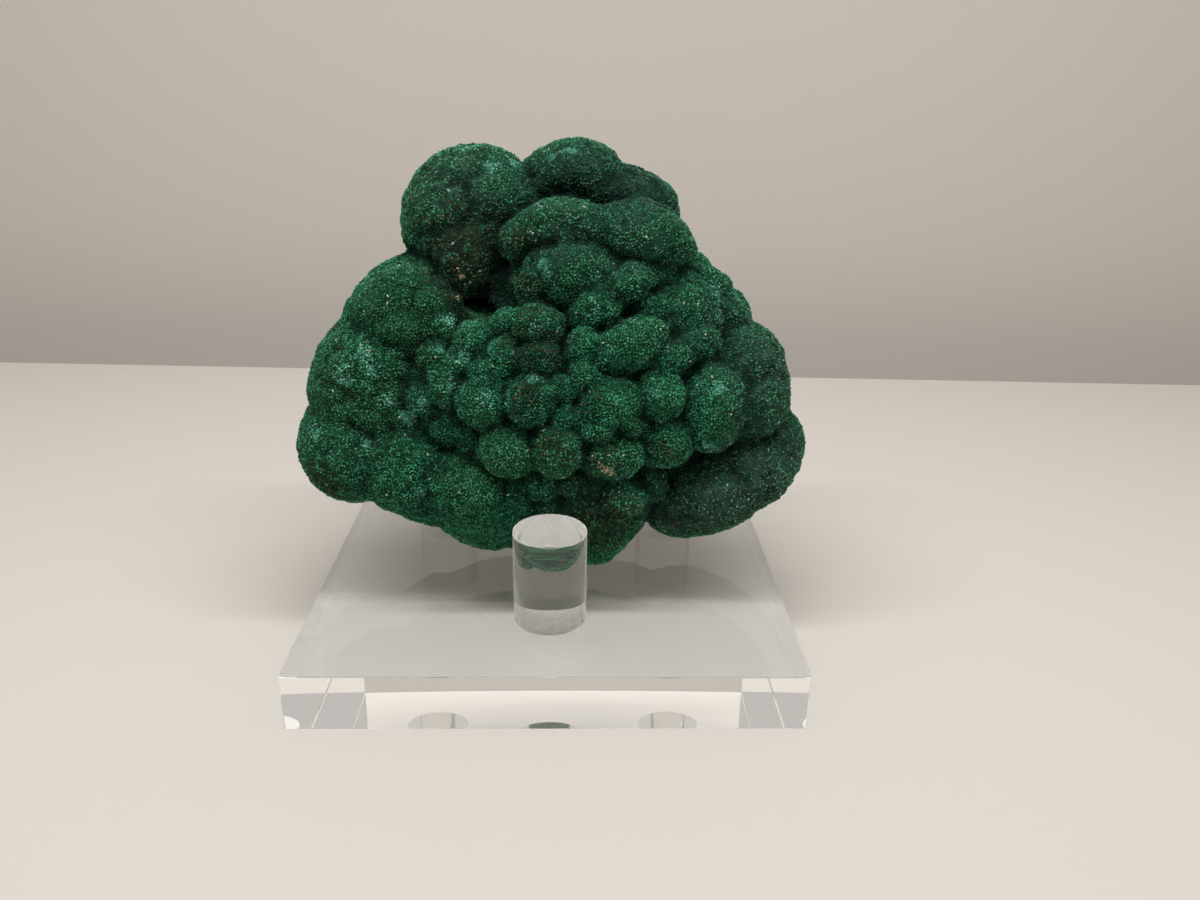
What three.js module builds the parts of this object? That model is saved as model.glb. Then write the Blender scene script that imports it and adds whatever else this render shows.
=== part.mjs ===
// A botryoidal malachite specimen on a clear acrylic three-peg stand.
// Millimetres, +Z up. The origin is the centre of the base slab's underside, and -Y is the front.
//
// The malachite is one stone: big rounded masses grown together, with a crust of smaller lobes over
// them. It isn't fixed to the stand. Its keel hangs between three round pegs, which are cemented to
// a square slab: it leans on the front peg's rim and its two heels lie on the back pegs.

import * as THREE from "three";

// ---- Driving dimensions ----

const SLAB_SIDE = 100;
const SLAB_THICKNESS = 12;
const SLAB_BEVEL = 0.4;
const PEG_RADIUS = 7.5;
const PEG_HEIGHT = 19.5;
const PEG_BEVEL = 0.3;
const PEG_SIDES = 32;
const FRONT_PEG_Y = -29;
const BACK_PEG_X = 29;
const BACK_PEG_Y = 28.5;
const CEMENT = 0.3; // the line of cement under each peg

const STONE_HEART = new THREE.Vector3(0, 6, 52); // every part of the stone's skin is in sight of here
const STONE_SPREAD = new THREE.Vector3(1.25, 0.75, 1); // evens out the skin's facets
const STONE_FACETS = 19; // cuts along each edge of the 20-sided ball that the skin starts as

// ---- Materials ----

const malachite = new THREE.MeshStandardMaterial({ color: 0x14563c, roughness: 0.75, metalness: 0 });
const acrylic = new THREE.MeshStandardMaterial({
  color: 0xe9ecea,
  roughness: 0.05,
  metalness: 0,
  transparent: true,
  opacity: 0.35,
});

// ---- The stand ----

// A square plate whose two broad faces meet its sides in a small polished bevel.
function slabGeometry() {
  const half = SLAB_SIDE / 2 - SLAB_BEVEL;
  const outline = new THREE.Shape();
  outline.moveTo(-half, -half).lineTo(half, -half).lineTo(half, half).lineTo(-half, half).closePath();
  const plate = new THREE.ExtrudeGeometry(outline, {
    depth: SLAB_THICKNESS - 2 * SLAB_BEVEL,
    bevelThickness: SLAB_BEVEL,
    bevelSize: SLAB_BEVEL,
    bevelSegments: 1,
  });
  return plate.translate(0, 0, SLAB_BEVEL);
}

// A turned rod, standing on its end, with the edge of each end just broken.
function pegGeometry() {
  const profile = [
    new THREE.Vector2(0, 0),
    new THREE.Vector2(PEG_RADIUS - PEG_BEVEL, 0),
    new THREE.Vector2(PEG_RADIUS, PEG_BEVEL),
    new THREE.Vector2(PEG_RADIUS, PEG_HEIGHT - PEG_BEVEL),
    new THREE.Vector2(PEG_RADIUS - PEG_BEVEL, PEG_HEIGHT),
    new THREE.Vector2(0, PEG_HEIGHT),
  ];
  return new THREE.LatheGeometry(profile, PEG_SIDES).rotateX(Math.PI / 2);
}

function clearPiece(name, geometry, x, y, z) {
  const piece = new THREE.Mesh(geometry, acrylic);
  piece.name = name;
  piece.position.set(x, y, z);
  return piece;
}

function makeStand() {
  const pegFoot = SLAB_THICKNESS + CEMENT;
  const stand = new THREE.Group();
  stand.add(
    clearPiece("base_slab", slabGeometry(), 0, 0, 0),
    clearPiece("peg_front", pegGeometry(), 0, FRONT_PEG_Y, pegFoot),
    clearPiece("peg_back_left", pegGeometry(), -BACK_PEG_X, BACK_PEG_Y, pegFoot),
    clearPiece("peg_back_right", pegGeometry(), BACK_PEG_X, BACK_PEG_Y, pegFoot),
  );
  return stand;
}

// ---- The stone ----

// The big rounded masses: the centre of each, its radii across, front to back and up, and its
// tilt in degrees, which lifts its right end.
const MASSES = [
  [0, 6.5, 48.5, 47, 26, 27, 0], // core
  [-4, 20, 60, 34, 15, 26, 0], // back
  [-30, 6, 65, 17, 17, 14, 25], // left shoulder
  [-37, 5, 50, 17, 17, 19, 0], // left flank
  [-43, 1.5, 39.5, 13.5, 15, 12.5, 0], // lower left
  [-27, -2, 35, 16, 15, 13, -15], // lower left, towards the keel
  [26, 8, 64, 18, 17, 15, -15], // right shoulder
  [36, 5, 51, 17, 18, 17, 0], // right flank
  [38, 1, 33.5, 20.5, 15, 12, 37], // lower right flap
  [8.5, -7, 31, 13.5, 16, 18, 0], // keel
  [-13, -5, 32.5, 16, 16, 16, 0], // keel, left
  [8, 9, 71, 21, 18, 18, 0], // chest
  [-17.5, 13, 86.5, 16, 14, 15, 0], // dome
  [-18, 9, 82, 12, 11.5, 12, 0], // the dome's underside
  [-17.5, 5, 77.5, 7.5, 8.5, 9, 0], // nose, which hangs from the dome
  [4, 20, 92, 12.5, 12, 11, 0], // crest, left
  [16, 20, 86.5, 12, 12, 10.5, 0], // crest, right
  [2, 5.5, 83, 11, 10, 9, 0], // brow, left
  [17, 5.5, 82.5, 12.5, 10, 9.5, 0], // brow, right
  [-27, 20, 44, 15, 13, 11.6, 0], // left heel
  [27, 20, 44, 15, 13, 11.6, 0], // right heel
];

// The lobes of the crust, big ones first: where each shows from the front, across and up, its
// full width and height, how far it stands out, and its tilt in degrees.
const LOBES = [
  // left shoulder and flank
  [-42, 41.5, 20, 17, 2.5, 0],
  [-41, 63.5, 18, 13, 3, 15],
  [-33, 76, 13, 12, 2.5, 0],
  [-38.5, 70.5, 13, 12, 2.5, 0],
  [-30, 68, 13, 12, 3, 0],
  [-33, 60.5, 13, 11, 3, 0],
  [-47, 55, 13, 14, 2.5, 0],
  [-44, 49, 13, 12, 3, 0],
  [-28, 37, 20, 16, 3.5, -20],
  [-31, 46, 17, 12, 3, -10],
  [-22, 47, 13, 10, 3, -10],
  // middle, and down to the keel
  [-15, 33, 19, 18, 3.5, 0],
  [-15, 43, 16, 11, 3.5, -25],
  [-12.3, 57, 11, 11, 3.5, 0],
  [-8, 48.7, 11, 10.5, 4.5, 0],
  [1.3, 48.5, 10, 10, 4, 0],
  [12, 46.5, 13, 10.5, 4.5, 0],
  [-3.5, 41, 14, 12, 3.5, 0],
  [12, 33, 16, 19, 2.5, 0],
  [20, 38.5, 10, 10, 3.5, 0],
  [11, 57.5, 13, 12.5, 4, 0],
  [15, 67.2, 18, 11, 4, 45],
  [7.5, 73, 12, 11, 3.5, 0],
  [4.5, 80, 14, 13, 3.5, 0],
  // right shoulder and flank
  [44, 62, 16, 16, 3.5, 0],
  [45, 52, 16, 15, 3.5, 0],
  [51, 44, 13, 13, 3, 0],
  [37, 70, 14, 13, 3, 0],
  [30, 76, 13, 12, 3, 0],
  [20, 77, 12, 11, 3, 0],
  [32, 66, 13, 12, 3, 0],
  [20.7, 58.6, 12, 11, 3.5, 0],
  [24, 64.5, 12, 10.5, 3, 20],
  [22, 51, 11, 9.5, 3.5, 0],
  [32, 54.5, 15, 14, 4, 0],
  [31, 46.5, 13, 10, 3.5, 0],
  // lower right flap
  [31, 26, 20, 16, 3, 30],
  [44, 36, 18, 15, 2, 35],
];

// A ball of radius 1 is carried onto each mass and lobe by a matrix.
function massMatrix([x, y, z, across, deep, up, tilt]) {
  const turn = new THREE.Matrix4().makeRotationY(THREE.MathUtils.degToRad(-tilt));
  return new THREE.Matrix4().makeTranslation(x, y, z).multiply(turn).scale(new THREE.Vector3(across, deep, up));
}

// Where a line crosses a carried ball, as two distances along its direction, or nothing.
function crossings(matrix, start, direction) {
  const inverse = matrix.clone().invert();
  const from = start.clone().applyMatrix4(inverse);
  const step = start.clone().add(direction).applyMatrix4(inverse).sub(from);
  const a = step.lengthSq();
  const b = from.dot(step);
  const within = b * b - a * (from.lengthSq() - 1);
  if (within < 0) return null;
  const root = Math.sqrt(within);
  return { matrix, enter: (-b - root) / a, leave: (-b + root) / a };
}

// A lobe is a ball sunk in the stone: it sits square on whatever shows in front at its place.
const FRONT_START = -200;

function lobeMatrix([x, z, width, height, rise, tilt], skin) {
  const start = new THREE.Vector3(x, FRONT_START, z);
  const inward = new THREE.Vector3(0, 1, 0);
  const hits = skin.map((matrix) => crossings(matrix, start, inward)).filter(Boolean);
  const first = hits.reduce((near, hit) => (hit.enter < near.enter ? hit : near));
  const foot = start.clone().addScaledVector(inward, first.enter);
  const onBall = foot.clone().applyMatrix4(first.matrix.clone().invert());
  const outward = onBall.applyMatrix3(new THREE.Matrix3().getNormalMatrix(first.matrix)).normalize();

  const deep = (width + height) / 4;
  const angle = THREE.MathUtils.degToRad(tilt);
  const long = new THREE.Vector3(Math.cos(angle), 0, Math.sin(angle));
  const short = new THREE.Vector3().crossVectors(long, outward).normalize();
  long.crossVectors(outward, short);
  return new THREE.Matrix4()
    .makeBasis(long, short, outward)
    .scale(new THREE.Vector3(width / 2, height / 2, deep))
    .setPosition(foot.addScaledVector(outward, rise - deep));
}

// The skin is a ball of even facets, each corner pushed out from the heart to the last surface there.
function stoneGeometry() {
  const skin = MASSES.map(massMatrix);
  for (const lobe of LOBES) skin.push(lobeMatrix(lobe, skin));

  const geometry = new THREE.IcosahedronGeometry(1, STONE_FACETS);
  const corners = geometry.attributes.position;
  for (let i = 0; i < corners.count; i++) {
    const direction = new THREE.Vector3().fromBufferAttribute(corners, i).multiply(STONE_SPREAD).normalize();
    const hits = skin.map((matrix) => crossings(matrix, STONE_HEART, direction)).filter(Boolean);
    const reach = Math.max(...hits.map((hit) => hit.leave));
    const corner = STONE_HEART.clone().addScaledVector(direction, reach);
    corners.setXYZ(i, corner.x, corner.y, corner.z);
  }
  geometry.computeVertexNormals();
  return geometry;
}

const stone = new THREE.Mesh(stoneGeometry(), malachite);
stone.name = "malachite_stone";

const specimen = new THREE.Group();
specimen.add(makeStand(), stone);

export default specimen;
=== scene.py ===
import math

import bmesh
import bpy
import numpy as np
from mathutils import Matrix, Vector, noise
from mathutils.bvhtree import BVHTree


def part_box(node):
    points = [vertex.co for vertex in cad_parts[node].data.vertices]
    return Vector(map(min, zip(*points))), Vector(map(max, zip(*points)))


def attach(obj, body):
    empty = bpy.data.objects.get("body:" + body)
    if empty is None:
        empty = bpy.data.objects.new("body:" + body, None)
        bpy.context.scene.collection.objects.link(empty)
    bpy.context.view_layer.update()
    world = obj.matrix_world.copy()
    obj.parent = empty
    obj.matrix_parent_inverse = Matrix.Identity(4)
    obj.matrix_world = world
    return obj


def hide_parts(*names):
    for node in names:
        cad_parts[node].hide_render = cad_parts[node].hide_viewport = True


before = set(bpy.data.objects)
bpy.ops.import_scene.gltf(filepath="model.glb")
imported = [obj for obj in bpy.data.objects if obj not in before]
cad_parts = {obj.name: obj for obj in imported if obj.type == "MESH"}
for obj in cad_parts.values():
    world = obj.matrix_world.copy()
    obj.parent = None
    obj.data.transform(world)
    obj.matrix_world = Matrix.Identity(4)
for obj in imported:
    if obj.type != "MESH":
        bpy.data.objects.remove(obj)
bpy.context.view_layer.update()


# ---- Camera ----
# A hand-held view from close in front of the stand and above it, a little right of square on.

MM = 0.001
CAMERA_PLACE = Vector((4.7, -188.8, 116.6)) * MM
CAMERA_DOWN = math.radians(22.82)
CAMERA_RIGHT = math.radians(1.79)
CAMERA_ROLL = math.radians(1.155)
CAMERA_FILM = 36
CAMERA_LENS = 27.01
CAMERA_NEAREST = 10 * MM

camera_data = bpy.data.cameras.new("camera")
camera_data.sensor_width = CAMERA_FILM
camera_data.lens = CAMERA_LENS
camera_data.clip_start = CAMERA_NEAREST
camera = bpy.data.objects.new("camera", camera_data)
camera.matrix_world = (
    Matrix.Translation(CAMERA_PLACE)
    @ Matrix.Rotation(-CAMERA_RIGHT, 4, "Z")
    @ Matrix.Rotation(math.pi / 2 - CAMERA_DOWN, 4, "X")
    @ Matrix.Rotation(CAMERA_ROLL, 4, "Z")
)
bpy.context.scene.collection.objects.link(camera)
bpy.context.scene.camera = camera


# ---- Base slab ----
# A square plate of cast acrylic, cut and flame-polished on every face, with its upper and upright
# edges just broken. It lies flat on the table with no feet.

ACRYLIC_TINT = (0.985, 0.99, 0.99, 1)
ACRYLIC_IOR = 1.49
PASSED_LIGHT = (0.94, 0.95, 0.95, 1)
# Painted glow: the grey that a ray trapped inside the acrylic gives off.
PAINTED_ROOM_GLOW = (0.26, 0.25, 0.235, 1)
MOST_REFLECTIONS = 3.5
SLAB_EDGE = 0.2 * MM


def clear_acrylic():
    """Water-clear cast acrylic with polished faces. Lamps and soft light pass straight through it."""
    material = bpy.data.materials.new("clear_acrylic")
    material.use_nodes = True
    nodes, links = material.node_tree.nodes, material.node_tree.links
    shader = nodes["Principled BSDF"]
    shader.inputs["Base Color"].default_value = ACRYLIC_TINT
    shader.inputs["Roughness"].default_value = 0
    shader.inputs["IOR"].default_value = ACRYLIC_IOR
    shader.inputs["Transmission Weight"].default_value = 1
    paths = nodes.new("ShaderNodeLightPath")
    straight = nodes.new("ShaderNodeBsdfTransparent")
    straight.inputs["Color"].default_value = PASSED_LIGHT
    last = shader.outputs["BSDF"]
    for ray in ("Is Diffuse Ray", "Is Shadow Ray"):
        choose = nodes.new("ShaderNodeMixShader")
        links.new(paths.outputs[ray], choose.inputs["Fac"])
        links.new(last, choose.inputs[1])
        links.new(straight.outputs["BSDF"], choose.inputs[2])
        last = choose.outputs["Shader"]
    links.new(last, nodes["Material Output"].inputs["Surface"])

    # A ray that is still inside after many reflections glows with a painted grey of the room's own
    # brightness.
    long_path = nodes.new("ShaderNodeMath")
    long_path.operation = "GREATER_THAN"
    long_path.inputs[1].default_value = MOST_REFLECTIONS
    links.new(paths.outputs["Glossy Depth"], long_path.inputs[0])
    glow = nodes.new("ShaderNodeMix")
    glow.data_type = "RGBA"
    glow.inputs[6].default_value = (0, 0, 0, 1)
    glow.inputs[7].default_value = PAINTED_ROOM_GLOW
    links.new(long_path.outputs[0], glow.inputs["Factor"])
    links.new(glow.outputs[2], shader.inputs["Emission Color"])
    shader.inputs["Emission Strength"].default_value = 1
    return material


def piece_from(name, bm, material, smooth_under=None):
    """Turns a bmesh into a finished piece of the object, which rides on the root body."""
    mesh = bpy.data.meshes.new(name)
    bmesh.ops.recalc_face_normals(bm, faces=bm.faces)
    bm.to_mesh(mesh)
    bm.free()
    mesh.materials.append(material)
    if smooth_under is not None:
        mesh.shade_smooth()
        mesh.set_sharp_from_angle(angle=smooth_under)
    piece = bpy.data.objects.new(name, mesh)
    bpy.context.scene.collection.objects.link(piece)
    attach(piece, "root")
    return piece


acrylic = clear_acrylic()
slab_low, slab_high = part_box("base_slab")

bm = bmesh.new()
bmesh.ops.create_cube(bm, size=1)
bmesh.ops.scale(bm, vec=slab_high - slab_low, verts=bm.verts)
bmesh.ops.translate(bm, vec=(slab_low + slab_high) / 2, verts=bm.verts)
broken = [e for e in bm.edges if max(v.co.z for v in e.verts) > slab_low.z + SLAB_EDGE]
bmesh.ops.bevel(
    bm, geom=broken, offset=SLAB_EDGE, affect="EDGES", segments=2, profile=0.5, material=-1
)
slab = piece_from("clear_slab", bm, acrylic)
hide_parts("base_slab")


# ---- Pegs ----
# Three lengths of acrylic rod, turned square on their ends and cemented to the slab. The cement
# fills the joint, so slab and peg read as one clear body.

PEG_SIDES = 128
PEG_RIM = 0.3 * MM
PEG_SINK = 0.06 * MM
PEG_SMOOTH_UNDER = math.radians(15)
HAIR = 0.001 * MM


def clear_peg(name, node):
    """A polished rod on its end, let into the slab by the depth of its cement."""
    low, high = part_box(node)
    foot = slab_high.z - PEG_SINK
    radius = (high.x - low.x) / 2
    bm = bmesh.new()
    bmesh.ops.create_cone(
        bm, cap_ends=True, segments=PEG_SIDES, radius1=radius, radius2=radius, depth=high.z - foot
    )
    bmesh.ops.translate(
        bm, vec=((low.x + high.x) / 2, (low.y + high.y) / 2, (high.z + foot) / 2), verts=bm.verts
    )
    rim = [e for e in bm.edges if all(abs(v.co.z - high.z) < HAIR for v in e.verts)]
    bmesh.ops.bevel(bm, geom=rim, offset=PEG_RIM, affect="EDGES", segments=3, profile=0.5, material=-1)
    peg = piece_from(name, bm, acrylic, smooth_under=PEG_SMOOTH_UNDER)
    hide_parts(node)


clear_peg("clear_peg_front", "peg_front")
clear_peg("clear_peg_back_left", "peg_back_left")
clear_peg("clear_peg_back_right", "peg_back_right")


# ---- Malachite ----
# One lump of botryoidal malachite: big rounded masses grown together, crusted with lobes and
# smaller knobs. Each is a ball of fine fibres growing outwards. It lies loose on the three pegs.

# The masses: centre, radii across, front to back and up, in millimetres, and tilt in degrees.
MASSES = [
    (0, 6.5, 48.5, 47, 26, 27, 0),  # core
    (-4, 20, 60, 34, 15, 26, 0),  # back
    (-30, 6, 65, 17, 17, 14, 25),  # left shoulder
    (-36.5, 2, 50, 17, 17, 19, 0),  # left flank
    (-42.5, -1.5, 39.5, 13.5, 15, 12.5, 0),  # lower left
    (-27, -3, 35, 16, 15, 13, -15),  # lower left, towards the keel
    (26, 8, 64, 18, 17, 15, -15),  # right shoulder
    (36, 3, 51, 17, 18, 17, 0),  # right flank
    (38, -2, 33.5, 20.5, 15, 12, 37),  # lower right flap
    (8.5, -5.5, 31, 13.5, 16, 18, 0),  # keel
    (-13, -5, 32.5, 16, 16, 16, 0),  # keel, left
    (-2, -6.5, 30, 12, 14, 15.5, 0),  # keel, middle
    (8, 9, 71, 21, 18, 18, 0),  # chest
    (-17.5, 13, 86.5, 16, 14, 15, 0),  # dome
    (-18, 9, 82, 12, 11.5, 12, 0),  # the dome's underside
    (-18.5, 3.5, 79.5, 7, 8.5, 9, 0),  # nose, which hangs from the dome
    (4, 20, 92, 12.5, 12, 11, 0),  # crest, left
    (16, 20, 86.5, 12, 12, 10.5, 0),  # crest, right
    (2, 5.5, 83, 11, 10, 9, 0),  # brow, left
    (17, 5.5, 82.5, 12.5, 10, 9.5, 0),  # brow, right
    (-27, 20, 44, 15, 13, 11.6, 0),  # left heel
    (27, 20, 44, 15, 13, 11.6, 0),  # right heel
]

# The lobes: broad swells, then the lobes on them, then the knobs between. Each row is where one
# shows from the front, across and up, its width and height, how far it stands out, and its tilt.
SWELLS = [
    (-34, 74.5, 16.5, 12.5, 2, 35),  # left shoulder
    (-40, 62.5, 18.5, 17.5, 2, 0),  # left flank
    (-43.5, 43, 20, 19, 1.6, 0),  # lower left
    (-34, 40.5, 22, 19, 3.6, -10),
    (-24, 38.5, 22, 19, 1.8, -20),  # between lower left and keel
    (-18, 35.5, 22, 17, 3.6, -20),
    (-9.5, 34.5, 14.5, 12.5, 2.5, 0),  # keel
    (10, 34.5, 16.5, 18.5, 1.2, 0),
    (1.5, 79, 20.5, 15, 3.5, 0),  # chest
    (1.5, 88.5, 21.5, 10, 3, 5),  # brow
    (18.5, 87, 20.5, 12, 3, -15),
    (28.5, 73, 18.5, 16.5, 2, -30),  # right shoulder
    (43, 63, 12.5, 12.5, 3, 0),  # right flank
    (45, 52, 12.5, 12.5, 3, 0),
    (39, 70, 10.5, 8.5, 2, 0),
    (32, 31, 24, 15, 3, 20),  # flap
    (46, 37, 17.5, 15, 2, 40),
    (-25, 91, 15, 14, 1.5, 0),  # dome
    (-11, 94, 13, 12, 1.6, 0),
    (-20, 98, 14, 9, 1.2, 0),
    (3.5, 97.5, 13, 9, 1.4, 0),  # crest
    (14, 93, 14, 9, 1.6, -20),
]
LOBES = [
    # the row over the front peg
    (-8.5, 45.5, 11, 10.5, 4.5, 0),
    (1, 46, 10, 10.5, 4.5, 0),
    (12, 43.8, 13, 10, 4.6, 0),
    (24, 46, 13, 12, 3.5, 15),
    # the row over that
    (-13.5, 54.5, 10.5, 9.5, 3.5, 0),
    (-4, 55.5, 9, 9.5, 4, 0),
    (11.5, 54.5, 13, 11.5, 4, 0),
    (22, 56, 11, 9.5, 3.5, 10),
    (33, 51.5, 13, 17, 4, -10),
    # up the right of the chest
    (24.5, 62.5, 12, 7.5, 3, 25),
    (16, 65, 17, 9.5, 5, 42),
    (8.5, 71.5, 11.5, 9.5, 4, 35),
    (15, 77, 11.5, 7.5, 3, 20),
    (30.5, 64.5, 9.5, 8.5, 2.5, 0),
    (22.5, 77.5, 10.5, 7.5, 2, 0),
    (34.5, 75, 10, 7.5, 2, -30),
    (20, 71, 8.5, 6, 2, 30),
    (-3, 68.5, 10, 9, 4, 0),
    # left of the middle
    (-21, 57.5, 9, 9.5, 2, 0),
    (-15.5, 66, 8, 9, 3, 0),
    (-29, 77.5, 9.5, 7.5, 0.5, 0),
    (-31, 68, 9.5, 8, 0.5, 0),
    (-32, 61, 10.5, 8, 0.5, 0),
    (-33.5, 56, 10.5, 7.5, 0.5, 0),
    (-43, 50.5, 12.5, 6, 0.5, 20),
    # down to the keel
    (-22, 48, 12.5, 7.5, 1, -15),
    (-15.5, 44.5, 12.5, 9, 1.2, -25),
    (-26, 43, 10.5, 8.5, 0.5, 0),
    (-15, 38.5, 12.5, 10.5, 0.9, -20),
    (-3.5, 38, 10.5, 8, 2.5, 0),
    (15.5, 34.5, 10.5, 8, 2.5, 0),
    (20, 35, 9, 7.5, 3, 20),
]
KNOBS = [
    (-22, 68, 6.5, 7, 1.5, 0),
    (-24.5, 63, 8, 7, 1.5, 0),
    (-27.5, 54, 7, 7.5, 1.5, 0),
    (-30, 49, 7, 7, 1, 0),
    (-18.5, 61.5, 7, 6, 2, 0),
    (-25, 73, 7.5, 6, 1, 0),
    (-12.5, 60, 6.5, 7, 2.5, 0),
    (-9.5, 63, 6, 8.5, 3, 0),
    (-3, 63, 8, 7, 3, 0),
    (-9, 69, 6, 7, 2.5, 0),
    (-10, 74.5, 5.5, 9.5, 2.5, 10),
    (-4.5, 76, 5.5, 7, 2, 0),
    (-8.5, 84, 5.5, 7.5, 2, 0),
    (6.5, 65, 7, 6.5, 3, 0),
    (7, 60, 6, 6, 3, 0),
    (2, 57.5, 7, 6, 2.5, 0),
    (3, 52, 6.5, 6.5, 2.5, 20),
    (8.5, 50, 8, 5.5, 2, 0),
    (16, 49.5, 7, 5.5, 2, 0),
    (3.5, 38, 5.5, 5, 2, 0),
]
# A ball is wider than what shows of it between its neighbours, by the first number. The second
# raises a whole tier.
TIERS = [(SWELLS, 1.22, 1.1), (LOBES, 1.12, 1.4), (KNOBS, 1.12, 1.4)]

# Where the skin never closed: place and size as for the masses.
HOLLOWS = [
    (-14.8, 0, 70.9, 5.4, 9, 1.6, -6),  # mouth, under the nose
]

# Marks on the skin: where each shows from the front, across and up, its radius and its strength.
PALE_MARKS = [
    # a scatter of chalky spots over the left flank
    (-43, 60.5, 2.2, 0.6),
    (-38, 63, 2.6, 0.7),
    (-41.5, 57.5, 1.4, 1),
    (-36, 60, 1.5, 0.8),
    (-43.5, 58, 1.2, 0.8),
    (-33, 54, 1.5, 1),
    (-29.5, 50.5, 1.8, 1),
    (-26, 53.5, 1.5, 1),
    (-37.5, 44.5, 1.6, 0.8),
    (-49, 46.5, 1.8, 0.6),
    (-27, 35.5, 1.6, 0.7),
    # over the middle
    (-21, 69.5, 1.4, 1),
    (-17.5, 63.5, 1.4, 0.9),
    (-22.5, 64, 1.2, 0.8),
    (-20.5, 58, 1.3, 0.7),
    (-13, 57, 2.6, 0.45),
    (-3.5, 61, 1.1, 0.9),
    (-3, 69, 2, 0.45),
    (-1.5, 71, 1.4, 0.45),
    (-2, 81, 1.5, 0.9),
    (-1, 79.7, 1.3, 0.9),
    (-1.5, 86.5, 1.3, 0.5),
    (7.5, 73.5, 1.8, 0.4),
    (11.5, 65.5, 1.6, 0.4),
    # over the right flank
    (21, 58, 1.2, 0.9),
    (34, 58, 1.5, 0.9),
    (32.5, 46, 1.5, 0.8),
    (37.5, 46, 1.2, 0.5),
    (34, 74.5, 2, 0.5),
    # over the dome and the crest
    (-18.5, 101, 1.8, 0.8),
    (-13, 98, 1.9, 0.8),
    (-8.5, 98.5, 1.6, 0.9),
    (-2, 101.5, 2, 0.6),
    (3.5, 101, 1.9, 0.8),
    (6.5, 97.5, 1.2, 0.5),
    (-30, 84, 2, 0.4),
]
BROWN_MARKS = [
    (-18.5, 83, 8, 0.95),
    (-16.5, 76, 6.5, 0.95),
    (-10.5, 77, 3, 0.7),
    (-6.5, 77, 3, 0.7),
    (-6.5, 84, 3, 0.6),
    (-10, 72.5, 2.5, 0.5),
    (-4.5, 59, 2.8, 0.8),
    (-3, 67, 6, 0.5),
    (0.5, 49.5, 2.8, 0.7),
    (3.5, 45.5, 2, 0.6),
    (9.5, 46, 3.4, 0.45),
    (15, 43, 3, 0.3),
    (22.5, 46, 2.4, 0.4),
    (8, 56.5, 3.5, 0.3),
    (4, 40, 3.6, 0.4),
    (18.5, 37, 3, 0.4),
    (10, 30, 7.5, 0.8),
    (28, 26, 5, 0.5),
    (-48, 35.5, 4.5, 0.7),
    (-47, 65, 1.6, 0.8),
    (-43, 64, 1.2, 0.8),
]
WORN_MARKS = [
    (32, 31.5, 11, 1),
    (43.5, 37, 11, 1),
    (26, 25.5, 7, 1),
    (50.5, 42.5, 7, 0.9),
    (40, 42, 6, 0.9),
    (-18, 82, 8, 0.9),
    (-17, 92, 13, 0.65),
    (3.5, 96.5, 11, 0.7),
    (18.5, 92.5, 11, 0.7),
    (17.5, 86.5, 10, 0.5),
    (1.5, 88, 8, 0.6),
    (10, 35, 9, 0.5),
    (37.5, 66.5, 13, 0.5),
    (45, 61.5, 10, 0.8),
    (45, 52, 10, 0.7),
    (-46, 41, 10, 0.3),
]
# Painted shade: the marks in the mouth under the nose and in the cleft beside it darken where shade
# falls; the rest darken patches of the middle and the crest.
DARK_AND_SHADE_MARKS = [
    (-15.5, 71, 3.6, 1),
    (-19.5, 70.8, 2.4, 0.8),
    (-11.5, 72.5, 2.6, 1),
    (-11.2, 76.5, 2.3, 1),
    (-11.4, 80, 2.2, 1),
    (-10.8, 83.5, 1.8, 0.8),
    (-14, 73.5, 3, 1),
    (-1, 76, 7, 0.4),
    (18, 93, 11, 0.5),
    (3.5, 97, 8, 0.4),
    (-4.3, 56.5, 4.5, 0.4),
    (-2, 66, 6, 0.5),
]
SCAR_MARKS = [
    (10.2, 43.9, 0.9, 0.9),
    (11.3, 42.7, 1.3, 1),
    (12.3, 41.8, 1, 0.9),
    (-19, 79, 0.8, 0.7),
    (-18.5, 77.3, 1, 0.8),
    (-17, 76, 1, 0.8),
    (-19.5, 73, 0.9, 0.7),
]

# How round a ball is made, and how far in front of the stone a place is sighted from. A place
# past the outline goes to the nearest skin at the outline's own depth, in millimetres.
BALL_CUTS = 4
SIGHT_START = -0.2
OUTLINE = 10
# The sides and back, which have lobes of their own, clear of the heels and of the outline.
BACK_LOBES = 210
STONE_HEART = Vector((0, 8, 52)) * MM
BACK_SIGHT = 0.2
BACK_START = 14 * MM
BACK_FACING = 0.4
HEEL_TOP = 44 * MM
CROWN = 94 * MM
SIDE = 46 * MM
BACK_SIZE = (10, 16)
BACK_RISE = 3.4
VOXEL = 0.65 * MM
GROWTH_SEED = 5

# The balls grew unevenly: how far they are pushed about, and over what distance.
WARP_SPAN = 12 * MM
WARP_REACH = 1 * MM
# Small buds all over them: their spacing, how far they stand out, and how broad and round they are.
BUDS = ((4.4 * MM, 0.5 * MM), (2.1 * MM, 0.24 * MM))
BUD_BREADTH = 2.2
BUD_ROUND = 0.6
# Where the skin is worn its buds are flatter, and it is rough and crumbled.
WORN_BUDS = 0.6
WORN_SPAN = 2.6 * MM
WORN_REACH = 0.55 * MM
# The crumbling's fineness, the step in size between its layers, and how many there are.
CRUMBLE = (1, 2, 3)
# A mark fades out at this many times its radius.
MARK_FADE = 1.5
# What counts as a crease and as a fold: how far the skin is smoothed to find it, and its depth.
CREASE = (18, 0.5 * MM)
FOLD = (130, 1.9 * MM)


def mass_matrix(x, y, z, across, deep, up, tilt):
    """Carries a ball of radius 1 onto a mass."""
    place = Matrix.Translation(Vector((x, y, z)) * MM)
    turn = Matrix.Rotation(math.radians(-tilt), 4, "Y")
    return place @ turn @ Matrix.Diagonal((across * MM, deep * MM, up * MM, 1))


def front_foot(tree, x, z):
    """Where a place across and up meets what shows in front there, and the way it faces."""
    return tree.ray_cast(Vector((x * MM, SIGHT_START, z * MM)), Vector((0, 1, 0)))[:2]


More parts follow.
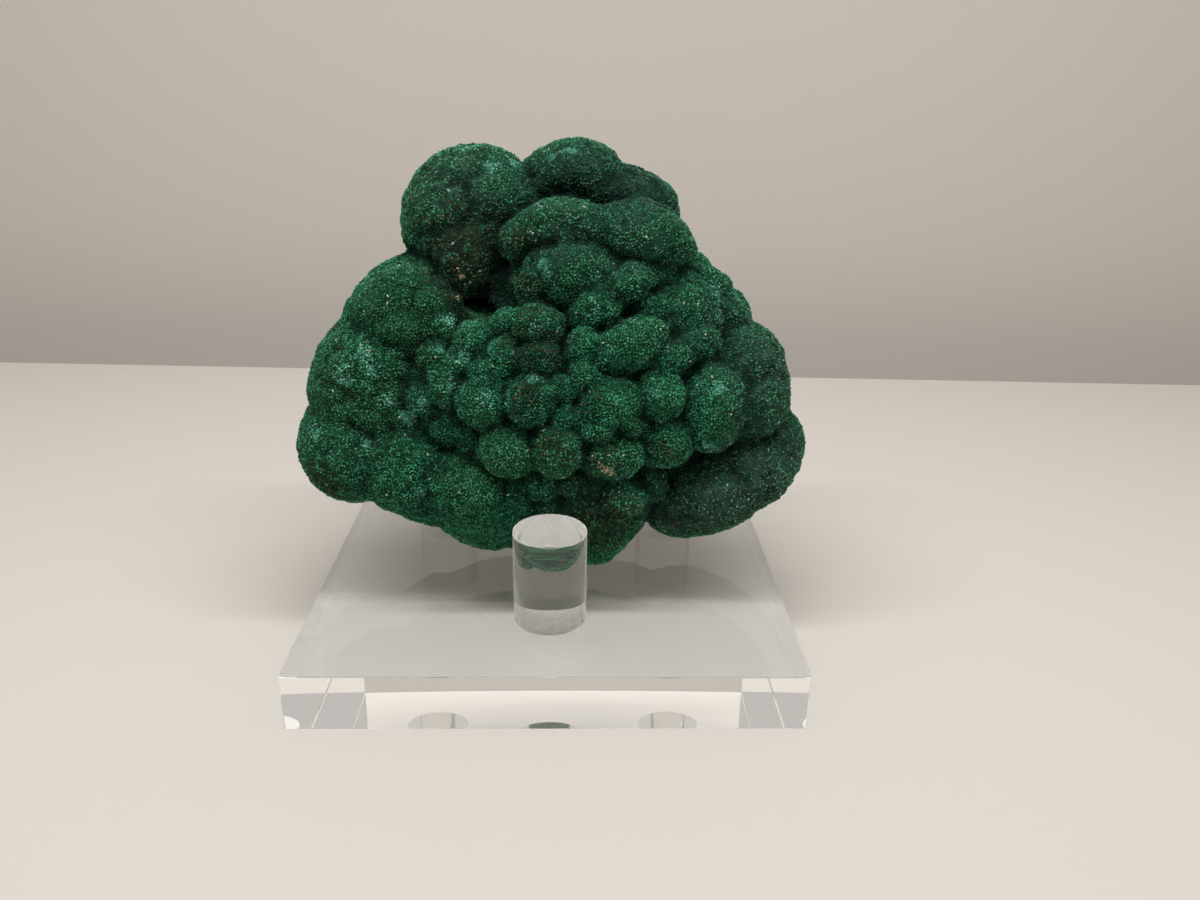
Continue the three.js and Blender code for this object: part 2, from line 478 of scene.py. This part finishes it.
def lobe_matrix(foot, outward, width, height, rise, tilt=0):
    """Carries a ball of radius 1 onto a lobe, sunk square into the skin at its foot."""
    angle = math.radians(tilt)
    along = Vector((math.cos(angle), 0, math.sin(angle)))
    upward = outward.cross(along).normalized()
    along = upward.cross(outward)
    across, up = width / 2, height / 2
    deep = (across + up) / 2
    turn = Matrix((along, upward, outward)).transposed().to_4x4()
    size = Matrix.Diagonal((across * MM, up * MM, deep * MM, 1))
    return Matrix.Translation(foot + outward * (rise - deep) * MM) @ turn @ size


def back_feet(tree):
    """Feet for the lobes of the sides and back, spread evenly by the golden angle."""
    for count in range(BACK_LOBES):
        level = 1 - 2 * (count + 0.5) / BACK_LOBES
        around = count * math.pi * (3 - math.sqrt(5))
        flat = math.sqrt(1 - level * level)
        outward = Vector((flat * math.cos(around), flat * math.sin(around), level))
        foot, facing, _, _ = tree.ray_cast(STONE_HEART + outward * BACK_SIGHT, -outward)
        behind = foot.y > BACK_START and facing.y > BACK_FACING
        if behind and HEEL_TOP < foot.z < CROWN and abs(foot.x) < SIDE:
            yield foot, facing


def loose_object(name, bm):
    """A working object, which is removed again before the end."""
    mesh = bpy.data.meshes.new(name)
    bm.to_mesh(mesh)
    bm.free()
    thing = bpy.data.objects.new(name, mesh)
    bpy.context.scene.collection.objects.link(thing)
    return thing


def grow_skin(thing, name):
    """Grows one closed, even skin over everything that a working object holds."""
    skin = thing.modifiers.new(name, "REMESH")
    skin.mode = "VOXEL"
    skin.voxel_size = VOXEL


def settled_mesh(thing):
    """A working object's mesh with its modifiers made real."""
    return bpy.data.meshes.new_from_object(thing.evaluated_get(bpy.context.evaluated_depsgraph_get()))


def grow_stone():
    """The whole lump as one closed skin, with its hollows."""
    bm = bmesh.new()
    for row in MASSES:
        bmesh.ops.create_icosphere(bm, subdivisions=BALL_CUTS, radius=1, matrix=mass_matrix(*row))
    for tier, spread, lift in TIERS:
        tree = BVHTree.FromBMesh(bm)
        for x, z, width, height, rise, tilt in tier:
            foot, outward = front_foot(tree, x, z)
            matrix = lobe_matrix(foot, outward, width * spread, height * spread, rise * lift, tilt)
            bmesh.ops.create_icosphere(bm, subdivisions=BALL_CUTS, radius=1, matrix=matrix)
    for foot, outward in back_feet(BVHTree.FromBMesh(bm)):
        low, high = BACK_SIZE
        width, height = (low + (high - low) * noise.random() for _ in range(2))
        matrix = lobe_matrix(foot, outward, width, height, BACK_RISE)
        bmesh.ops.create_icosphere(bm, subdivisions=BALL_CUTS - 1, radius=1, matrix=matrix)
    balls = loose_object("stone_balls", bm)

    bm = bmesh.new()
    for row in HOLLOWS:
        bmesh.ops.create_icosphere(bm, subdivisions=BALL_CUTS, radius=1, matrix=mass_matrix(*row))
    hollows = loose_object("stone_hollows", bm)
    grow_skin(hollows, "join")

    grow_skin(balls, "first_skin")
    carve = balls.modifiers.new("carve", "BOOLEAN")
    carve.operation = "DIFFERENCE"
    carve.solver = "MANIFOLD"
    carve.object = hollows
    grow_skin(balls, "skin")
    ease = balls.modifiers.new("ease", "SMOOTH")
    ease.factor = 0.5
    ease.iterations = 1
    grown = settled_mesh(balls)
    bpy.data.objects.remove(balls)
    bpy.data.objects.remove(hollows)
    return grown


def bud_height(point, spacing):
    """1 on the crown of a bud and 0 in the crease beside it."""
    nearest, second = noise.voronoi(point / spacing)[0][:2]
    return min(1, (second - nearest) * BUD_BREADTH) ** BUD_ROUND


def read_vectors(mesh, name):
    """Every corner's place or normal, as the rows of an array."""
    values = np.empty(len(mesh.vertices) * 3)
    mesh.vertices.foreach_get(name, values)
    return values.reshape(-1, 3)


def mark_strength(mesh, marks):
    """How strongly a list of marks covers each point of the skin: 0 to 1."""
    places = read_vectors(mesh, "co")
    tree = BVHTree.FromPolygons(
        [vertex.co for vertex in mesh.vertices], [face.vertices for face in mesh.polygons]
    )
    strength = np.zeros(len(places))
    for x, z, radius, most in marks:
        foot = front_foot(tree, x, z)[0]
        foot = foot or tree.find_nearest(Vector((x, OUTLINE, z)) * MM)[0]
        away = np.linalg.norm(places - np.array(foot), axis=1) / (radius * MM)
        strength = np.maximum(strength, most * np.clip(MARK_FADE - away, 0, 1))
    return strength


def weather_stone(mesh):
    """Pushes the balls out of true, covers them in small buds, and breaks up the worn skin."""
    places = read_vectors(mesh, "co")
    normals = read_vectors(mesh, "normal")
    worn = mark_strength(mesh, WORN_MARKS)
    for row, (place, normal) in enumerate(zip(places.tolist(), normals.tolist())):
        place = Vector(place)
        shift = noise.noise_vector(place / WARP_SPAN) * WARP_REACH
        bud = sum(reach * (bud_height(place, spacing) - 0.5) for spacing, reach in BUDS)
        crumble = noise.fractal(place / WORN_SPAN, *CRUMBLE) * WORN_REACH * worn[row]
        places[row] += shift + Vector(normal) * (bud * (1 - WORN_BUDS * worn[row]) + crumble)
    mesh.vertices.foreach_set("co", places.ravel())
    mesh.update()


def skin_relief(mesh, passes, depth):
    """How far each point of the skin stands out from the skin smoothed around it: -1 to 1."""
    count = len(mesh.vertices)
    places = read_vectors(mesh, "co")
    ends = np.empty(len(mesh.edges) * 2, dtype=np.int32)
    mesh.edges.foreach_get("vertices", ends)
    one, other = ends.reshape(-1, 2).T
    neighbours = np.bincount(ends, minlength=count)
    smooth = places.copy()
    for _ in range(passes):
        for axis in range(3):
            column = smooth[:, axis]
            total = np.bincount(one, column[other], count) + np.bincount(other, column[one], count)
            smooth[:, axis] = (column + total / neighbours) / 2
    out = ((places - smooth) * read_vectors(mesh, "normal")).sum(axis=1)
    return np.clip(out / depth, -1, 1)


def note(mesh, name, values):
    """Keeps a number for each point of the skin, for the materials to read."""
    attribute = mesh.attributes.new(name, "FLOAT", "POINT")
    attribute.data.foreach_set("value", values.astype(np.float32))


class NodeBench:
    """The few node-making steps that the stone's group and materials are put together from."""

    def __init__(self, tree):
        self.nodes, self.links = tree.nodes, tree.links

    def feed(self, value, socket):
        """Links an output to a socket, or sets the socket to a number or a colour."""
        if isinstance(value, bpy.types.NodeSocket):
            self.links.new(value, socket)
        else:
            socket.default_value = (*value, 1) if isinstance(value, tuple) else value

    def attribute(self, name):
        """A number kept on the mesh."""
        node = self.nodes.new("ShaderNodeAttribute")
        node.attribute_name = name
        return node.outputs["Fac"]

    def span(self, value, low, high, to_low=0, to_high=1):
        """Carries one range of a value onto another, and holds it there."""
        node = self.nodes.new("ShaderNodeMapRange")
        node.inputs["From Min"].default_value = low
        node.inputs["From Max"].default_value = high
        node.inputs["To Min"].default_value = to_low
        node.inputs["To Max"].default_value = to_high
        self.links.new(value, node.inputs["Value"])
        return node.outputs[0]

    def combine(self, kind, one, other):
        """One step of arithmetic."""
        node = self.nodes.new("ShaderNodeMath")
        node.operation = kind
        self.feed(one, node.inputs[0])
        self.feed(other, node.inputs[1])
        return node.outputs[0]

    def blend(self, amount, one, other):
        """One colour giving way to another."""
        node = self.nodes.new("ShaderNodeMix")
        node.data_type = "RGBA"
        self.links.new(amount, node.inputs["Factor"])
        self.feed(one, node.inputs[6])
        self.feed(other, node.inputs[7])
        return node.outputs[2]

    def clouds(self, per_metre, detail=3):
        """Soft uneven patches."""
        node = self.nodes.new("ShaderNodeTexNoise")
        node.inputs["Scale"].default_value = per_metre
        node.inputs["Detail"].default_value = detail
        node.inputs["Roughness"].default_value = 0.6
        self.links.new(self.nodes.new("ShaderNodeTexCoord").outputs["Object"], node.inputs["Vector"])
        return node.outputs["Fac"]


# How the marks are read: the strength each starts at and is full at, and the most it covers.
MARK_EDGES = (
    ("worn", 0.1, 1, 0.8),
    ("brown", 0.1, 0.75, 0.9),
    ("pale", 0.35, 0.6, 1),
    ("scar", 0.5, 0.7, 1),
)
MARK_RAGGED = (0.35, 0.6, 0.55, 1)
MARK_RAGGED_PER_METRE = 600
MARK_SCATTER = 0.2
# How the relief is read: from, to, and the share at each end.
# Painted shade: the crease and fold shares darken the colour deep in creases and folds.
CREASE_LIGHT = (-0.85, 0.05, 0.1, 1)
FOLD_LIGHT = (-0.85, 0.2, 0.45, 1)
# Painted highlight: the crest share lightens the colour on crests.
CREST_HIGHLIGHT_SHARE = (0.1, 0.9, 0, 0.5)
OLIVE_SHARE = (0.48, 0.72, 0, 0.5)
OLIVE_PER_METRE = 45


def mark_group():
    """The marks as masks whose edges take some grains and leave others, by each grain's chance."""
    tree = bpy.data.node_groups.new("stone_marks", "ShaderNodeTree")
    tree.interface.new_socket("Chance", in_out="INPUT", socket_type="NodeSocketFloat")
    bench = NodeBench(tree)
    chance = tree.nodes.new("NodeGroupInput").outputs["Chance"]
    outside = tree.nodes.new("NodeGroupOutput")

    def put_out(name, value):
        tree.interface.new_socket(name, in_out="OUTPUT", socket_type="NodeSocketFloat")
        tree.links.new(value, outside.inputs[name])

    ragged = bench.span(bench.clouds(MARK_RAGGED_PER_METRE, 2), *MARK_RAGGED)
    for name, low, high, most in MARK_EDGES:
        mark = bench.attribute(name)
        scatter = bench.combine("SUBTRACT", chance, 0.5)
        scatter = bench.combine("MULTIPLY", scatter, bench.span(mark, 0, MARK_SCATTER))
        mark = bench.combine("MULTIPLY", mark, ragged)
        put_out(name.capitalize(), bench.span(bench.combine("ADD", mark, scatter), low, high, 0, most))
    # Painted shade: this mask is low in creases, in folds and under the dark marks, where the colour
    # is darkened.
    crease = bench.span(bench.attribute("crease"), *CREASE_LIGHT)
    fold = bench.attribute("fold")
    shelter = bench.combine("MULTIPLY", crease, bench.span(fold, *FOLD_LIGHT))
    undimmed = bench.combine("SUBTRACT", 1, bench.attribute("dark"))
    put_out("Unshaded", bench.combine("MULTIPLY", shelter, undimmed))
    put_out("Olive", bench.span(bench.clouds(OLIVE_PER_METRE), *OLIVE_SHARE))
    # Painted highlight: this mask lightens the colour on crests.
    put_out("CrestHighlight", bench.span(fold, *CREST_HIGHLIGHT_SHARE))
    return tree


SHEEN = 0.02
SHEEN_ROUGHNESS = 0.45
SHEEN_TINT = (0.3, 0.9, 0.55, 1)


def new_finish(name, roughness, specular):
    """A material with the marks already placed in it."""
    material = bpy.data.materials.new(name)
    material.use_nodes = True
    marks = material.node_tree.nodes.new("ShaderNodeGroup")
    marks.node_tree = stone_marks
    shader = material.node_tree.nodes["Principled BSDF"]
    shader.inputs["Roughness"].default_value = roughness
    shader.inputs["Specular IOR Level"].default_value = specular
    shader.inputs["Sheen Weight"].default_value = SHEEN
    shader.inputs["Sheen Roughness"].default_value = SHEEN_ROUGHNESS
    shader.inputs["Sheen Tint"].default_value = SHEEN_TINT
    return material, marks, shader


# The skin's colours, each from its darkest to its lightest where it is mottled.
SKIN_GREEN = ((0.003, 0.024, 0.011), (0.010, 0.09, 0.042))
# Painted highlight for the crests.
SKIN_CREST_HIGHLIGHT = (0.014, 0.10, 0.045)
SKIN_WORN = ((0.010, 0.021, 0.015), (0.07, 0.12, 0.09))
SKIN_BROWN = ((0.004, 0.008, 0.004), (0.023, 0.033, 0.016))
# Painted shade for creases, folds and the dark marks.
SKIN_PAINTED_SHADE = (0.002, 0.009, 0.006)
SKIN_PALE = (0.06, 0.23, 0.15)
SKIN_SCAR = (0.62, 0.55, 0.34)
SKIN_MOTTLE = (0.35, 0.7)
SKIN_MOTTLE_PER_METRE = 420
SKIN_GRAINS_PER_METRE = 900
SKIN_GRAIN_HEIGHT = 0.25 * MM


def skin_material():
    """The skin between the tips: dark where they stand, and dull grey green where they're worn off."""
    material, marks, shader = new_finish("malachite_skin", 0.75, 0.08)
    bench = NodeBench(material.node_tree)
    bench.feed(bench.clouds(SKIN_GRAINS_PER_METRE), marks.inputs["Chance"])
    mask = marks.outputs
    mottle = bench.span(bench.clouds(SKIN_MOTTLE_PER_METRE, 5), *SKIN_MOTTLE)
    color = bench.blend(mottle, *SKIN_GREEN)
    # Painted highlight on the crests.
    color = bench.blend(mask["CrestHighlight"], color, SKIN_CREST_HIGHLIGHT)
    color = bench.blend(mask["Worn"], color, bench.blend(mottle, *SKIN_WORN))
    color = bench.blend(mask["Brown"], color, bench.blend(mottle, *SKIN_BROWN))
    # Painted shade in creases, in folds and under the dark marks.
    color = bench.blend(mask["Unshaded"], SKIN_PAINTED_SHADE, color)
    color = bench.blend(mask["Pale"], color, SKIN_PALE)
    color = bench.blend(mask["Scar"], color, SKIN_SCAR)
    bench.feed(color, shader.inputs["Base Color"])
    bump = bench.nodes.new("ShaderNodeBump")
    bump.inputs["Distance"].default_value = SKIN_GRAIN_HEIGHT
    bench.feed(bench.clouds(SKIN_GRAINS_PER_METRE, 4), bump.inputs["Height"])
    bench.feed(bump.outputs["Normal"], shader.inputs["Normal"])
    return material


stone_marks = mark_group()
noise.seed_set(GROWTH_SEED)
stone_mesh = grow_stone()
stone_mesh.name = "malachite_velvet"
weather_stone(stone_mesh)
for name, marks in (
    ("pale", PALE_MARKS),
    ("brown", BROWN_MARKS),
    ("worn", WORN_MARKS),
    ("scar", SCAR_MARKS),
    ("dark", DARK_AND_SHADE_MARKS),
):
    note(stone_mesh, name, mark_strength(stone_mesh, marks))
note(stone_mesh, "crease", skin_relief(stone_mesh, *CREASE))
note(stone_mesh, "fold", skin_relief(stone_mesh, *FOLD))
stone_mesh.shade_smooth()
stone_mesh.materials.clear()
stone_mesh.materials.append(skin_material())
stone = bpy.data.objects.new("malachite_velvet", stone_mesh)
bpy.context.scene.collection.objects.link(stone)
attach(stone, "root")
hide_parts("malachite_stone")


# ---- Fibre ends ----
# The velvet on the malachite: the blunt four-sided ends of its fibres, which stand close together
# all over the skin and are part of it. They are thinner where the skin is worn, and are made in
# two pieces, in front and behind.

TIP_SPACING = 0.47 * MM
TIP_TRIES = 8e6
TIP_SIDES = 4
TIP_RADIUS = 0.55 * MM
TIP_LENGTH = 0.46 * MM
TIP_SINK = 0.14 * MM
TIP_LEAN = math.radians(18)
TIP_SMALLEST = (0.5, 0.9, 0.5)
TIP_LARGEST = (0.9, 1.7, 1.2)
TINT_SEED = 7
WORN_OFF = 0.45
FRONT_LIMIT = 4 * MM


def fibre_nodes():
    """Geometry nodes that stand the tips on a skin, where a named share of it asks for them."""
    tree = bpy.data.node_groups.new("fibre_ends", "GeometryNodeTree")
    for name, way, kind in (
        ("Skin", "INPUT", "NodeSocketGeometry"),
        ("Share", "INPUT", "NodeSocketString"),
        ("Tips", "OUTPUT", "NodeSocketGeometry"),
    ):
        tree.interface.new_socket(name, in_out=way, socket_type=kind)
    nodes, links = tree.nodes, tree.links
    inside, outside = nodes.new("NodeGroupInput"), nodes.new("NodeGroupOutput")

    share = nodes.new("GeometryNodeInputNamedAttribute")
    share.data_type = "FLOAT"
    links.new(inside.outputs["Share"], share.inputs["Name"])
    spread = nodes.new("GeometryNodeDistributePointsOnFaces")
    spread.distribute_method = "POISSON"
    spread.inputs["Distance Min"].default_value = TIP_SPACING
    spread.inputs["Density Max"].default_value = TIP_TRIES
    links.new(inside.outputs["Skin"], spread.inputs["Mesh"])
    links.new(share.outputs["Attribute"], spread.inputs["Density Factor"])

    # One tip, which knows its height from its foot to its point.
    tip = nodes.new("GeometryNodeMeshCone")
    tip.fill_type = "NONE"
    tip.inputs["Vertices"].default_value = TIP_SIDES
    tip.inputs["Radius Top"].default_value = 0
    tip.inputs["Radius Bottom"].default_value = TIP_RADIUS
    tip.inputs["Depth"].default_value = TIP_LENGTH
    level = nodes.new("ShaderNodeSeparateXYZ")
    links.new(nodes.new("GeometryNodeInputPosition").outputs["Position"], level.inputs["Vector"])
    height = nodes.new("ShaderNodeMath")
    height.operation = "DIVIDE"
    height.inputs[1].default_value = TIP_LENGTH
    links.new(level.outputs["Z"], height.inputs[0])
    mark = nodes.new("GeometryNodeStoreNamedAttribute")
    mark.inputs["Name"].default_value = "height"
    links.new(tip.outputs["Mesh"], mark.inputs["Geometry"])
    links.new(height.outputs[0], mark.inputs["Value"])
    sink = nodes.new("GeometryNodeTransform")
    sink.inputs["Translation"].default_value = (0, 0, -TIP_SINK)
    links.new(mark.outputs["Geometry"], sink.inputs["Geometry"])

    lean = nodes.new("FunctionNodeRandomValue")
    lean.data_type = "FLOAT_VECTOR"
    lean.inputs["Min"].default_value = (-TIP_LEAN, -TIP_LEAN, 0)
    lean.inputs["Max"].default_value = (TIP_LEAN, TIP_LEAN, math.pi)
    turn = nodes.new("FunctionNodeRotateRotation")
    turn.rotation_space = "LOCAL"
    links.new(spread.outputs["Rotation"], turn.inputs["Rotation"])
    links.new(lean.outputs["Value"], turn.inputs["Rotate By"])
    size = nodes.new("FunctionNodeRandomValue")
    size.data_type = "FLOAT_VECTOR"
    size.inputs["Min"].default_value = TIP_SMALLEST
    size.inputs["Max"].default_value = TIP_LARGEST
    stand = nodes.new("GeometryNodeInstanceOnPoints")
    links.new(spread.outputs["Points"], stand.inputs["Points"])
    links.new(sink.outputs["Geometry"], stand.inputs["Instance"])
    links.new(turn.outputs["Rotation"], stand.inputs["Rotation"])
    links.new(size.outputs["Value"], stand.inputs["Scale"])

    last = stand.outputs["Instances"]
    for seed, name in enumerate(("tint", "glint"), start=TINT_SEED):
        chance = nodes.new("FunctionNodeRandomValue")
        chance.inputs["Seed"].default_value = seed
        keep = nodes.new("GeometryNodeStoreNamedAttribute")
        keep.domain = "INSTANCE"
        keep.inputs["Name"].default_value = name
        links.new(last, keep.inputs["Geometry"])
        links.new(chance.outputs[1], keep.inputs["Value"])
        last = keep.outputs["Geometry"]
    whole = nodes.new("GeometryNodeRealizeInstances")
    links.new(last, whole.inputs["Geometry"])
    links.new(whole.outputs["Geometry"], outside.inputs["Tips"])
    return tree


# The tips' colours, each from its darkest grain to its lightest.
TIP_GREEN = ((0.006, 0.068, 0.031), (0.062, 0.43, 0.215))
# Painted highlight: the crests' lighter greens.
TIP_CREST_HIGHLIGHT = ((0.014, 0.12, 0.055), (0.17, 0.72, 0.38))
TIP_OLIVE = ((0.012, 0.05, 0.015), (0.15, 0.30, 0.10))
TIP_WORN = ((0.022, 0.042, 0.032), (0.165, 0.27, 0.21))
TIP_BROWN = ((0.005, 0.011, 0.005), (0.055, 0.078, 0.03))
TIP_RUST = (0.19, 0.16, 0.06)
TIP_PALE = ((0.07, 0.33, 0.22), (0.34, 0.78, 0.57))
TIP_SCAR = ((0.30, 0.24, 0.10), (0.80, 0.74, 0.50))
# A painted glint, and the painted shade at the foot of each tip, between the grains.
TIP_PAINTED_GLINT = (0.5, 0.66, 0.56)
TIP_FOOT_SHADE = (0.003, 0.018, 0.010)
# How evenly the grains run from dark to light, and the clouds that dull patches of them.
TINT_POWER = 0.85
DULL_PATCHES = (0.36, 0.62, 0.5, 1)
DULL_PER_METRE = 300
# The chances past which a grain is rusty or gets a painted glint, and the part of a tip's height
# painted lit.
RUST_CHANCE = (0.9, 0.95)
GLINT_CHANCE = (0.992, 0.995)
LIT_HEIGHT = (0.2, 0.6)


def tip_material():
    """The fibre ends: each its own green, greyer where worn, painted shade at the foot, rare painted
    glints.
    """
    material, marks, shader = new_finish("malachite_tips", 0.5, 0.14)
    bench = NodeBench(material.node_tree)
    tint, glint = bench.attribute("tint"), bench.attribute("glint")
    bench.feed(glint, marks.inputs["Chance"])
    mask = marks.outputs
    patch = bench.span(bench.clouds(DULL_PER_METRE, 2), *DULL_PATCHES)
    shade = bench.combine("MULTIPLY", bench.combine("POWER", tint, TINT_POWER), patch)
    color = bench.blend(shade, *TIP_GREEN)
    # Painted highlight on the crests.
    color = bench.blend(mask["CrestHighlight"], color, bench.blend(shade, *TIP_CREST_HIGHLIGHT))
    color = bench.blend(mask["Olive"], color, bench.blend(shade, *TIP_OLIVE))
    color = bench.blend(mask["Worn"], color, bench.blend(shade, *TIP_WORN))
    brown = bench.blend(bench.span(glint, *RUST_CHANCE), bench.blend(shade, *TIP_BROWN), TIP_RUST)
    color = bench.blend(mask["Brown"], color, brown)
    color = bench.blend(mask["Pale"], color, bench.blend(shade, *TIP_PALE))
    color = bench.blend(mask["Scar"], color, bench.blend(shade, *TIP_SCAR))
    # Painted glint: a rare whitish tip, only outside the painted shade.
    painted_glint = bench.combine("MULTIPLY", bench.span(glint, *GLINT_CHANCE), mask["Unshaded"])
    color = bench.blend(painted_glint, color, TIP_PAINTED_GLINT)
    # Painted shade: each tip darkens towards its foot, and in creases and folds.
    lit = bench.combine("MULTIPLY", bench.span(bench.attribute("height"), *LIT_HEIGHT), mask["Unshaded"])
    bench.feed(bench.blend(lit, TIP_FOOT_SHADE, color), shader.inputs["Base Color"])
    return material


in_front = read_vectors(stone_mesh, "co")[:, 1] < FRONT_LIMIT
cover = 1 - WORN_OFF * mark_strength(stone_mesh, WORN_MARKS)
note(stone_mesh, "tips_in_front", cover * in_front)
note(stone_mesh, "tips_behind", cover * ~in_front)

fibres, tips_finish = fibre_nodes(), tip_material()
for name, share in (("malachite_tips_front", "tips_in_front"), ("malachite_tips_back", "tips_behind")):
    bed = bpy.data.objects.new("bed", stone_mesh)
    bpy.context.scene.collection.objects.link(bed)
    grow = bed.modifiers.new("grow", "NODES")
    grow.node_group = fibres
    grow[fibres.interface.items_tree["Share"].identifier] = share
    tips_mesh = settled_mesh(bed)
    bpy.data.objects.remove(bed)
    tips_mesh.name = name
    tips_mesh.shade_flat()
    tips_mesh.materials.clear()
    tips_mesh.materials.append(tips_finish)
    tips = bpy.data.objects.new(name, tips_mesh)
    bpy.context.scene.collection.objects.link(tips)
    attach(tips, "root")


# ---- Table, wall and lights ----
# A pale table whose back edge stands a little off square in front of a plain wall. One long thin
# lamp overhead throws the straight edge of the shadow, and the room around it fills in the rest.

TABLE_DROP = 0.1 * MM
TABLE_BACK = 171 * MM
TABLE_TURN = math.radians(-1.6)
TABLE_FRONT = -1.5
HALF_WIDTH = 1.5
TABLE_COLOR = (0.785, 0.73, 0.67, 1)
TABLE_ROUGHNESS = 0.6
WALL_SETBACK = 0.06
WALL_FOOT = -0.2
WALL_TOP = 0.2
WALL_COLOR = (0.80, 0.74, 0.67, 1)
WALL_ROUGHNESS = 0.8
# Each light: its place, the point it faces, its size and its power in watts.
STRIP_LIGHT = ((0, -0.07, 0.4), (0, -0.07, 0), (0.6, 0.008), 1.35)
CEILING = ((0, 0.15, 0.9), (0, 0, 0), (1.6, 0.9), 1.1)
ROOM_COLOR = (1, 0.97, 0.93, 1)
ROOM_STRENGTH = 0.27


def plain_surface(name, corners, color, roughness):
    """A flat stage surface in one plain colour."""
    material = bpy.data.materials.new(name)
    material.use_nodes = True
    shader = material.node_tree.nodes["Principled BSDF"]
    shader.inputs["Base Color"].default_value = color
    shader.inputs["Roughness"].default_value = roughness
    mesh = bpy.data.meshes.new(name)
    bm = bmesh.new()
    bm.faces.new([bm.verts.new(corner) for corner in corners])
    bm.to_mesh(mesh)
    bm.free()
    mesh.materials.append(material)
    surface = bpy.data.objects.new(name, mesh)
    bpy.context.scene.collection.objects.link(surface)


edge = Matrix.Rotation(TABLE_TURN, 3, "Z") @ Vector((HALF_WIDTH, 0, 0))
far = Vector((0, TABLE_BACK, -TABLE_DROP))
near = Vector((0, TABLE_FRONT, -TABLE_DROP))
plain_surface(
    "table", [near - edge, near + edge, far + edge, far - edge], TABLE_COLOR, TABLE_ROUGHNESS
)
foot = Vector((0, TABLE_BACK + WALL_SETBACK, WALL_FOOT))
top = Vector((0, TABLE_BACK + WALL_SETBACK, WALL_TOP))
plain_surface("wall", [foot - edge, foot + edge, top + edge, top - edge], WALL_COLOR, WALL_ROUGHNESS)


def soft_panel(name, place, aim, size, power):
    """A rectangular diffused light at a place, facing a point."""
    data = bpy.data.lights.new(name, "AREA")
    data.shape = "RECTANGLE"
    data.size, data.size_y = size
    data.energy = power
    light = bpy.data.objects.new(name, data)
    light.location = place
    light.rotation_euler = (Vector(aim) - Vector(place)).to_track_quat("-Z", "Y").to_euler()
    bpy.context.scene.collection.objects.link(light)


soft_panel("strip_light", *STRIP_LIGHT)
soft_panel("ceiling", *CEILING)

world = bpy.data.worlds.new("room")
world.use_nodes = True
world.node_tree.nodes["Background"].inputs["Color"].default_value = ROOM_COLOR
world.node_tree.nodes["Background"].inputs["Strength"].default_value = ROOM_STRENGTH
bpy.context.scene.world = world
bpy.context.scene.view_settings.view_transform = "Standard"
